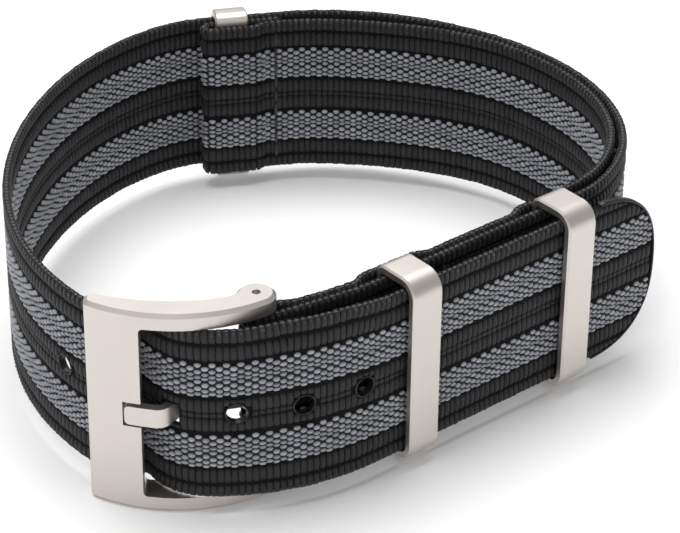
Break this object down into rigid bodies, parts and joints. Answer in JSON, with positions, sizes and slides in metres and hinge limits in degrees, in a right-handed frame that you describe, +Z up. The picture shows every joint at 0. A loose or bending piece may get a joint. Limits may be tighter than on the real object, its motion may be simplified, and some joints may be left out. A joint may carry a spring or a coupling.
{
  "type": "watch strap",
  "caption": "Woven pull-through watch strap buckled into a wrist loop, with a tongue buckle, flat metal keepers and a long holed tail, standing on its edge.",
  "frame": {"origin": "centre of the bounding box in plan, on the surface the strap stands on", "axes": "+Z up along the webbing's width, -Y towards the buckle and tail, +X towards the tail's tip"},
  "size_m": [0.0724, 0.074, 0.0242],
  "materials": {
    "webbing": "plain-woven nylon webbing, black with two grey stripes",
    "thread": "black sewing thread",
    "satin_steel": "bead-blasted satin stainless steel",
    "spring_steel": "drawn spring wire"
  },
  "bodies": {
    "straps": {"long_strap": "webbing", "short_strap": "webbing", "fold_stitching": "thread", "keeper_stitching": "thread", "ring_stitching": "thread"},
    "spring_bar": {"spring_bar_tube": "satin_steel", "spring_bar_spring": "spring_steel"},
    "upper_tip": {"spring_bar_upper_tip": "satin_steel"},
    "lower_tip": {"spring_bar_lower_tip": "satin_steel"},
    "buckle": {"buckle_frame": "satin_steel"},
    "tongue": {"buckle_tongue": "satin_steel"},
    "near_ring": {"near_keeper": "satin_steel"},
    "far_ring": {"far_keeper": "satin_steel"},
    "back_ring": {"back_keeper": "satin_steel"}
  },
  "joints": [
    {"name": "spring_bar_turn", "type": "hinge", "parent": "straps", "child": "spring_bar", "pos_m": [-0.00735, -0.03206, 0.0121], "axis": [0, 0, 1], "continuous": true},
    {"name": "upper_tip_press", "type": "slide", "parent": "spring_bar", "child": "upper_tip", "axis": [0, 0, -1], "range_m": [0, 0.00135], "stiffness_N_per_m": 800, "deforming": ["spring_bar_spring"]},
    {"name": "lower_tip_press", "type": "slide", "parent": "spring_bar", "child": "lower_tip", "axis": [0, 0, 1], "range_m": [0, 0.00135], "stiffness_N_per_m": 800, "deforming": ["spring_bar_spring"]},
    {"name": "buckle_swing", "type": "hinge", "parent": "straps", "child": "buckle", "pos_m": [-0.00735, -0.03206, 0.0121], "axis": [0, 0, 1], "range_deg": [0, 2.5]},
    {"name": "tongue_lift", "type": "hinge", "parent": "buckle", "child": "tongue", "pos_m": [-0.00735, -0.03206, 0.0121], "axis": [0, 0, 1], "range_deg": [0, 2]},
    {"name": "near_keeper_slide", "type": "slide", "parent": "straps", "child": "near_ring", "axis": [0.766, 0.6428, 0], "range_m": [-0.001, 0.001]},
    {"name": "far_keeper_slide", "type": "slide", "parent": "straps", "child": "far_ring", "axis": [0.766, 0.6428, 0], "range_m": [-0.001, 0.001]},
    {"name": "back_keeper_slide", "type": "slide", "parent": "straps", "child": "back_ring", "axis": [-0.9781, -0.2079, 0], "range_m": [-0.0005, 0.0005]}
  ]
}
